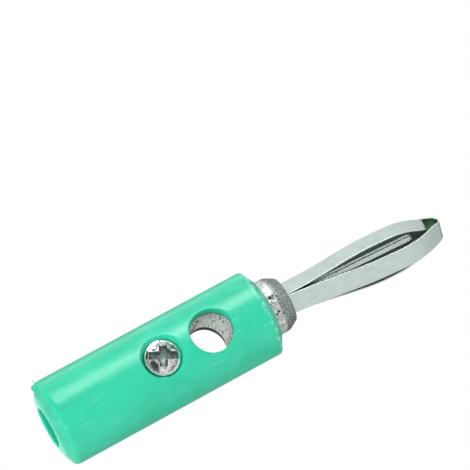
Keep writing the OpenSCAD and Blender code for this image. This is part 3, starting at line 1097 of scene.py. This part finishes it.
def mark(tree, name):
    """The vector with which a mesh marks its points."""
    return node(tree, "ShaderNodeAttribute", attribute_name=name).outputs["Vector"]


def distance(tree, first, second):
    """Length of two parts that are square to each other."""
    flat = node(tree, "ShaderNodeCombineXYZ", {"X": first, "Y": second}).outputs["Vector"]
    return node(tree, "ShaderNodeVectorMath", {0: flat}, operation="LENGTH").outputs["Value"]


def added(tree, first, second, weight):
    """The first mask plus the second times a weight."""
    return node(tree, "ShaderNodeMath", {0: second, 1: weight, 2: first}, operation="MULTIPLY_ADD").outputs[0]


def bumped(tree, shader, height, strength, distance):
    """Feeds a height to the shader's normal. Distance is in millimetres."""
    bump = node(tree, "ShaderNodeBump", {"Height": height, "Strength": strength, "Distance": distance * MM})
    tree.links.new(bump.outputs["Normal"], shader.inputs["Normal"])


def near_height(tree, place, height, reach):
    """1 at a height on the piece, falling to 0 at reach above and below it."""
    z = xyz(tree, place)["Z"]
    off = node(tree, "ShaderNodeMath", {0: z, 1: height * MM}, operation="SUBTRACT").outputs[0]
    away = node(tree, "ShaderNodeMath", {0: off}, operation="ABSOLUTE").outputs[0]
    return passed(tree, away, reach, 0)


def above_height(tree, place, low, high, ragged=None, by=0):
    """0 below the first height on the piece, 1 above the second. The edge is ragged by a mask, in
    millimetres."""
    z = xyz(tree, place)["Z"]
    if ragged is not None:
        z = added(tree, z, ragged, by * MM)
    return passed(tree, z, low, high)


def linked(tree, shader, **sockets):
    """Feeds sockets to the shader's inputs, named with spaces for underscores."""
    for key, socket in sockets.items():
        tree.links.new(socket, shader.inputs[key.replace("_", " ")])


# Finishes

HOLE_WALL_EDGE = (0.05, 0.01)
# Painted shade in the socket holes, at the foot of the near wall against the body and on the far wall
FOOT_SHADE_H = 0.25
FOOT_SHADE_FULL = 0.4
FAR_SIDE_Y = (1.0, 1.5)
FAR_SHADE_FULL_R = SLEEVE_R - 0.25
FAR_SHADE_END_R = SLEEVE_R - 0.02


TARNISH_FROM = NOSE_Z + 16.4
TARNISH_FULL = NOSE_Z + 17.4
EDGE_HIGHLIGHT_DEPTHS = (0.02 * LEAF_T, 0.2 * LEAF_T)
INSIDE_SHADE_DEPTHS = (0.5 * LEAF_T, 0.9 * LEAF_T)


def socket_hole(tree, place):
    """Masks of the sleeve's socket holes: 1 on both of their walls, and 1 where painted shade darkens them,
    which is most of the far wall and the foot of the near one against the body."""
    part = xyz(tree, place)
    z = node(tree, "ShaderNodeMath", {0: part["Z"], 1: SOCKET_Z * MM}, operation="SUBTRACT").outputs[0]
    hole_r = SOCKET_R + SOCKET_MARGIN
    wall = passed(tree, distance(tree, part["X"], z), hole_r + HOLE_WALL_EDGE[0], hole_r + HOLE_WALL_EDGE[1])
    outwards = distance(tree, part["X"], part["Y"])
    foot = passed(tree, outwards, BORE_R + FOOT_SHADE_H, BORE_R + FOOT_SHADE_FULL * FOOT_SHADE_H)
    inner = passed(tree, outwards, FAR_SHADE_END_R, FAR_SHADE_FULL_R)
    far = combined(tree, "MULTIPLY", passed(tree, part["Y"], *FAR_SIDE_Y), inner)
    shade_in_socket = combined(tree, "MAXIMUM", far, foot)
    return wall, combined(tree, "MULTIPLY", wall, shade_in_socket)


def green_plastic():
    """Moulded plastic: a soft sheen, cloudy colour, faint flow lines along the sleeve, patches of scratches,
    scuffs on its front edge, a painted highlight on the tail's lip and painted shade in the socket holes."""
    material, tree, shader, place = new_material("green_plastic")
    haze = cloud(tree, place, (300, 300, 130))
    flow = cloud(tree, place, (1400, 1400, 60), detail=2)
    grain = cloud(tree, place, (7000, 7000, 5000), detail=2)
    clean = blend(tree, haze, (0.022, 0.64, 0.385), (0.034, 0.71, 0.44))
    edge = near_height(tree, place, SLEEVE_L - CHAMFER_L, 0.45)
    worn = cloud(tree, place, (1300, 1300, 2300), 0.46, 0.6)
    scuff = combined(tree, "MULTIPLY", edge, worn)
    # Painted highlight: the tail's lip round the cable hole is coloured a lighter green
    lip = above_height(tree, place, LIP_DROP, 0.4 * LIP_DROP)
    lip_highlighted = blend(tree, lip, clean, (0.06, 0.76, 0.52))
    smudge = cloud(tree, place, (1100, 1100, 700), 0.45, 0.7)
    smudged = blend(tree, between_values(tree, smudge, 0, 0.4), lip_highlighted, (0.05, 0.76, 0.5))
    hole, shade_in_socket = socket_hole(tree, place)
    streaks = cloud(tree, place, (2400, 2400, 330), 0.56, 0.72, 4)
    rubbed = combined(tree, "MULTIPLY", streaks, cloud(tree, place, (190, 190, 150), 0.46, 0.58))
    scratched = blend(tree, between_values(tree, rubbed, 0, 0.55), smudged, (0.2, 0.8, 0.62))
    # Painted shade: the socket holes' far wall and the near wall's foot are coloured almost black
    shaded_socket_colour = blend(tree, shade_in_socket, scratched, (0.003, 0.025, 0.016))
    colour = blend(tree, scuff, shaded_socket_colour, (0.42, 0.84, 0.74))
    sheen = added(tree, between_values(tree, flow, 0.29, 0.34), hole, 0.35)
    linked(tree, shader, Base_Color=colour, Roughness=sheen)
    bumped(tree, shader, added(tree, flow, grain, 0.4), 0.06, 0.02)
    shader.inputs["Subsurface Weight"].default_value = 0.2
    shader.inputs["Subsurface Radius"].default_value = (0.4, 1.0, 0.8)
    shader.inputs["Subsurface Scale"].default_value = 0.7 * MM
    return material


def cast_plating():
    """Plating over a rough casting: painted near black inside the sleeve as shade, pale and scored in the
    socket, frosted on the nose's cone and brighter between, with dark pits and a painted shadow round the
    socket's near edge."""
    material, tree, shader, place = new_material("cast_plating")
    grain = cloud(tree, place, (7500, 7500, 7500), 0.38, 0.62)
    blotch = cloud(tree, place, (1500, 1500, 1500), 0.4, 0.62)
    speck = pits(tree, place, 3200, 0.42, 0.16)
    # The pit mark also carries the painted shadow on the socket's near edge
    hole = combined(tree, "MAXIMUM", xyz(tree, mark(tree, "pit"))["X"], speck)
    frosted = blend(tree, grain, (0.13, 0.165, 0.16), (0.42, 0.47, 0.455))
    bright = blend(tree, blotch, (0.5, 0.52, 0.5), (0.84, 0.85, 0.84))
    scored = cloud(tree, place, (5500, 1400, 5500), 0.4, 0.6)
    drilled = blend(tree, scored, (0.62, 0.64, 0.61), (1.0, 0.99, 0.96))
    # Painted shade: the body below the middle between screw and socket is near black, so no lit metal shows
    # round the screw's head
    wall = blend(tree, above_height(tree, place, CELL_MID - 0.4, CELL_MID), (0.06, 0.07, 0.066), drilled)
    band = blend(tree, above_height(tree, place, CELL_HIGH, CELL_HIGH + 1), wall, bright)
    metal = blend(tree, above_height(tree, place, CONE_Z - 0.1, CONE_Z + 0.1, grain, 0.12), band, frosted)
    colour = blend(tree, hole, metal, (0.03, 0.03, 0.028))
    linked(tree, shader, Base_Color=colour, Roughness=between_values(tree, grain, 0.4, 0.56))
    bumped(tree, shader, added(tree, grain, hole, -1.5), 0.5, 0.03)
    shine = between_values(tree, above_height(tree, place, CELL_HIGH, CELL_HIGH + 1), 0, 1)
    linked(tree, shader, Metallic=shine)
    return material


def screw_plating():
    """Bright plating, a little clouded, stains and painted dark reflections between the arms, painted shade in
    the recess.
    """
    material, tree, shader, place = new_material("screw_plating")
    recess = xyz(tree, mark(tree, "recess"))
    haze = cloud(tree, place, (2600, 2600, 2600))
    clean = blend(tree, haze, (0.66, 0.72, 0.7), (0.96, 0.98, 0.97))
    # Dark patches: partly stains, partly painted dark reflections
    dark = blend(tree, haze, (0.02, 0.035, 0.032), (0.11, 0.15, 0.145))
    patched_dark = blend(tree, recess["Y"], clean, dark)
    # Painted shade: inside the cross the colour is dark grey, lighter in its middle
    recess_shade = blend(tree, haze, (0.08, 0.12, 0.113), (0.2, 0.26, 0.25))
    sunk = blend(tree, recess["Z"], recess_shade, (0.26, 0.33, 0.32))
    colour = blend(tree, recess["X"], patched_dark, sunk)
    clouded = between_values(tree, haze, 0.15, 0.27)
    linked(tree, shader, Base_Color=colour, Roughness=added(tree, clouded, recess["X"], 0.12))
    linked(tree, shader, Metallic=between_values(tree, recess["X"], 1, 0.45))
    bumped(tree, shader, haze, 0.4, 0.03)
    return material


def leaf_plating():
    """Satin spring strip with fine marks drawn along it, painted shade on the side that faces in, and a
    painted highlight along its edges.
    """
    material, tree, shader, spot = new_material("leaf_plating")
    place = mark(tree, "strip_place")
    drawn = cloud(tree, place, (0.35, 11, 1), 0.3, 0.7)
    fine = cloud(tree, place, (1.2, 40, 1), 0.3, 0.7, 2)
    haze = cloud(tree, place, (0.8, 1.6, 1), 0.35, 0.65)
    marked = added(tree, drawn, fine, 0.4)
    outside = blend(tree, marked, (0.50, 0.59, 0.565), (0.585, 0.675, 0.65))
    # Painted shade: the faces that face in are coloured dark
    inside = blend(tree, marked, (0.07, 0.105, 0.094), (0.15, 0.2, 0.184))
    tarnish = blend(tree, cloud(tree, spot, (900, 900, 900)), (0.1, 0.26, 0.17), (0.28, 0.4, 0.24))
    inside = blend(tree, above_height(tree, spot, TARNISH_FROM, TARNISH_FULL), inside, tarnish)
    depth = xyz(tree, place)["Z"]
    # Painted highlight: the strips' edges are coloured lighter
    edge = ranged(tree, depth, EDGE_HIGHLIGHT_DEPTHS)
    facing_in = ranged(tree, depth, INSIDE_SHADE_DEPTHS)
    colour = blend(tree, facing_in, blend(tree, edge, outside, (0.6, 0.68, 0.66)), inside)
    linked(tree, shader, Base_Color=colour, Roughness=between_values(tree, haze, 0.36, 0.46))
    bumped(tree, shader, added(tree, drawn, fine, 0.5), 0.12, 0.01)
    shader.inputs["Metallic"].default_value = 1
    return material


def pin_plating():
    """Bright plated wire with marks drawn along it, painted dark as shade and dark reflection where its mark
    says so.
    """
    material, tree, shader, place = new_material("pin_plating")
    drawn = cloud(tree, place, (2500, 2500, 60), 0.3, 0.7)
    pin_dark = xyz(tree, mark(tree, "dullness"))["X"]
    bright = blend(tree, drawn, (0.74, 0.88, 0.85), (0.88, 1.0, 0.97))
    colour = blend(tree, pin_dark, bright, (0.03, 0.05, 0.045))
    linked(tree, shader, Base_Color=colour, Roughness=between_values(tree, drawn, 0.34, 0.42))
    bumped(tree, shader, drawn, 0.08, 0.01)
    shader.inputs["Metallic"].default_value = 0.05
    return material


# Camera, from the place where the photograph was taken

AIM = np.array([0, 0, 23.0])
CAMERA_AWAY = 320.0
CAMERA_ROLL = math.radians(28.5)
CAMERA_TILT = math.radians(11.64)
HOLE_TURN = math.radians(11)
IMAGE_SIZE = 470
FOCAL_PX = 3086
AIM_PX = (242.5, 322.5)
SENSOR_MM = 36


# The plug's axis, and the two directions square to it: towards the camera and to the upper side of the plug
AXIS = np.array([0, 0, 1.0])
TOWARDS = np.array([math.sin(HOLE_TURN), -math.cos(HOLE_TURN), 0])
UPPER = np.array([-math.cos(HOLE_TURN), -math.sin(HOLE_TURN), 0])


def camera_axes():
    """Right, up and forward of a camera that looks straight at the aim: the plug's axis is tilted by the
    camera's height, its holes are turned a little upwards, and the picture is rolled."""
    along = math.cos(CAMERA_TILT) * AXIS + math.sin(CAMERA_TILT) * TOWARDS
    forward = math.sin(CAMERA_TILT) * AXIS - math.cos(CAMERA_TILT) * TOWARDS
    right = math.cos(CAMERA_ROLL) * along - math.sin(CAMERA_ROLL) * UPPER
    up = math.sin(CAMERA_ROLL) * along + math.cos(CAMERA_ROLL) * UPPER
    return right, up, forward


RIGHT, UP, FORWARD = camera_axes()


def frame_matrix(right, up, back, place):
    """Matrix of an object at a place in millimetres, with its axes given."""
    matrix = Matrix.Identity(4)
    for column, vector in enumerate((right, up, back, place * MM)):
        matrix.col[column] = (*vector, 1 if column == 3 else 0)
    return matrix


def add_camera():
    """The camera, turned off the aim so that the aim falls on its own pixel of the picture."""
    data = bpy.data.cameras.new("camera")
    data.sensor_width = SENSOR_MM
    data.lens = FOCAL_PX * SENSOR_MM / IMAGE_SIZE
    data.clip_start = 10 * MM
    look = FORWARD + ((IMAGE_SIZE / 2 - AIM_PX[0]) * RIGHT + (AIM_PX[1] - IMAGE_SIZE / 2) * UP) / FOCAL_PX
    look = look / np.linalg.norm(look)
    up = UP - (UP @ look) * look
    up = up / np.linalg.norm(up)
    camera = bpy.data.objects.new("camera", data)
    bpy.context.scene.collection.objects.link(camera)
    camera.matrix_world = frame_matrix(np.cross(look, up), up, -look, AIM - CAMERA_AWAY * FORWARD)
    bpy.context.scene.camera = camera


# Stage

FLOOR_HALF = 1500
FLOOR_GAP = 0.2
LAMP_AWAY = 260


def add_floor():
    """A pale floor under the tail. Its underside is clear, because the photograph's view passes through it,
    and it throws no light or shade on the plug."""
    edge = np.linspace(-FLOOR_HALF, FLOOR_HALF, 2)
    x, y = np.meshgrid(edge, edge, indexing="ij")
    points, faces = patch(np.stack([x, y, np.full_like(x, -FLOOR_GAP)], axis=-1), closed=False)
    mesh = bpy.data.meshes.new("floor")
    mesh.from_pydata((points * MM).tolist(), [], [face[::-1] for face in faces])
    material, tree, shader, _ = new_material("pale_floor")
    shader.inputs["Base Color"].default_value = (0.9, 0.9, 0.9, 1)
    shader.inputs["Roughness"].default_value = 0.9
    shader.inputs["Specular IOR Level"].default_value = 0
    under = node(tree, "ShaderNodeNewGeometry").outputs["Backfacing"]
    clear = node(tree, "ShaderNodeBsdfTransparent").outputs["BSDF"]
    mixed = node(tree, "ShaderNodeMixShader", {0: under, 1: shader.outputs["BSDF"], 2: clear})
    output = [each for each in tree.nodes if each.type == "OUTPUT_MATERIAL"][0]
    tree.links.new(mixed.outputs[0], output.inputs["Surface"])
    mesh.materials.append(material)
    floor = bpy.data.objects.new("floor", mesh)
    bpy.context.scene.collection.objects.link(floor)
    for ray in ("diffuse", "glossy", "shadow", "transmission"):
        setattr(floor, f"visible_{ray}", False)


SOFT_BEHIND = 0.7
SOFT_FRONT = 0.34
SOFT_LIFT = -0.14
MIRROR_BEHIND = 0.25
MIRROR_SIDES = 0.97
MIRROR_FRONT = 0.56
MIRROR_LIFT = -0.13
SOFT_SPAN = (-1.0, 0.6)
SIDES_SPAN = (-0.75, -0.25)
FRONT_SPAN = (0.6, 0.92)
MIRROR_AIM = 0.37 * UPPER - 0.93 * FORWARD


def dot(tree, direction, way):
    """How far a direction goes the given way, from -1 to 1."""
    made = node(tree, "ShaderNodeVectorMath", {0: direction, 1: tuple(way)}, operation="DOT_PRODUCT")
    return made.outputs["Value"]


def chosen(tree, mask, low, high):
    """A number between two others by the mask. Each is a number or a socket."""
    made = node(tree, "ShaderNodeMix", {"Factor": mask, "A": low, "B": high}, data_type="FLOAT")
    return made.outputs["Result"]


def add_world():
    """White to the camera. What lights the plug is brighter behind it than on the camera's side. What it
    mirrors is bright all round the camera, and dimmer about the camera itself and behind the plug."""
    world = bpy.data.worlds.new("studio")
    world.use_nodes = True
    bpy.context.scene.world = world
    tree = world.node_tree
    tree.nodes.clear()
    direction = node(tree, "ShaderNodeTexCoord").outputs["Generated"]
    height = dot(tree, direction, UPPER)
    facing = dot(tree, direction, -FORWARD)
    soft = added(tree, ranged(tree, facing, SOFT_SPAN, SOFT_BEHIND, SOFT_FRONT), height, SOFT_LIFT)
    around = ranged(tree, dot(tree, direction, MIRROR_AIM), SIDES_SPAN, MIRROR_BEHIND, MIRROR_SIDES)
    mirror = chosen(tree, ranged(tree, facing, FRONT_SPAN), around, MIRROR_FRONT)
    mirror = added(tree, mirror, height, MIRROR_LIFT)
    path = node(tree, "ShaderNodeLightPath").outputs
    glossy = combined(tree, "MAXIMUM", path["Is Glossy Ray"], path["Is Transmission Ray"])
    level = chosen(tree, path["Is Camera Ray"], chosen(tree, glossy, soft, mirror), 1.0)
    light = node(tree, "ShaderNodeBackground", {"Color": (1, 1, 1, 1), "Strength": level})
    node(tree, "ShaderNodeOutputWorld", {"Surface": light.outputs["Background"]})


ABOVE = 0.552 * TOWARDS + 0.834 * UPPER + 0.2 * AXIS
BELOW_BEHIND = -0.86 * TOWARDS - 0.29 * UPPER - 0.42 * AXIS

# Lamps as (name, direction, size along the plug and across, power, distance, soft, sheen)
LAMPS = [
    ("key_lamp", ABOVE, (150, 130), 0.1, LAMP_AWAY, True, True),
    ("sheen_lamp", ABOVE, (150, 110), 0.29, LAMP_AWAY + 20, False, True),
    ("upper_lamp", 0.98 * UPPER - 0.15 * TOWARDS, (200, 200), 0.28, LAMP_AWAY, True, False),
    ("rim_lamp", 0.79 * UPPER - 0.62 * TOWARDS, (160, 50), 0.032, LAMP_AWAY, False, True),
    ("front_lamp", -FORWARD, (80, 80), 0.31, LAMP_AWAY, True, False),
    ("socket_lamp", BELOW_BEHIND, (80, 80), 0.35, LAMP_AWAY, True, False),
    ("tail_lamp", 0.25 * TOWARDS - 0.97 * AXIS, (80, 80), 0.2, LAMP_AWAY, True, False),
    ("tail_sheen_lamp", -0.95 * TOWARDS - 0.3 * AXIS, (120, 80), 0.035, LAMP_AWAY, False, True),
]


def add_lamp(name, direction, size, power, away, soft, sheen):
    """A lamp that faces the aim from a direction. Soft lamps light what is matt, and lamps with sheen show in
    what is glossy."""
    data = bpy.data.lights.new(name, "AREA")
    data.shape = "RECTANGLE"
    data.size = size[0] * MM
    data.size_y = size[1] * MM
    data.energy = power
    lamp = bpy.data.objects.new(name, data)
    bpy.context.scene.collection.objects.link(lamp)
    lamp.visible_camera = False
    lamp.visible_diffuse = soft
    lamp.visible_glossy = sheen
    back = direction / np.linalg.norm(direction)
    along = AXIS - (AXIS @ back) * back
    along = along / np.linalg.norm(along)
    lamp.matrix_world = frame_matrix(along, np.cross(back, along), back, AIM + away * back)


def add_stage():
    """Floor, world, lamps and view settings."""
    add_floor()
    add_world()
    for lamp in LAMPS:
        add_lamp(*lamp)
    bpy.context.scene.view_settings.view_transform = "Standard"


# The plug

def add_plug():
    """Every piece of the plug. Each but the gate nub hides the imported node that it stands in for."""
    plastic = green_plastic()
    leaf = leaf_plating()
    outer_face = leaf_face(SHOULDER, TIP_CENTRE, TIP_R)
    inner_near = INNER_BEND + INNER_BEND_R * np.array([math.cos(TIP_SLOPE), math.sin(TIP_SLOPE)])
    inner_face = leaf_face(inner_near, INNER_BEND, INNER_BEND_R)
    inner_wide = leaf_face(inner_near, INNER_BEND, INNER_BEND_R, SPARE_BOW)
    outer = strip_mesh("outer_contact", outer_face, outer_face, LEAF_W, LEAF_TURN - math.pi / 2, 0, BACK_SWAY)
    inner = strip_mesh("inner_contact", inner_wide, inner_face, INNER_W, LEAF_TURN, FOLD_SLANT, 0)
    add_piece("sleeve_moulding", sleeve_mesh(), plastic, "plug", "sleeve")
    add_piece("gate_nub", nub_mesh(), plastic, "plug")
    add_piece("nose_and_socket", body_mesh(), cast_plating(), "plug", "plug_body")
    add_piece("screw_head_and_thread", screw_mesh(), screw_plating(), "screw", "clamp_screw")
    add_piece("outer_contact", outer, leaf, "plug", "outer_strip")
    add_piece("inner_contact", inner, leaf, "plug", "inner_strip")
    add_piece("contact_pin", pin_mesh(), pin_plating(), "plug", "core_pin")


add_camera()
add_stage()
add_plug()
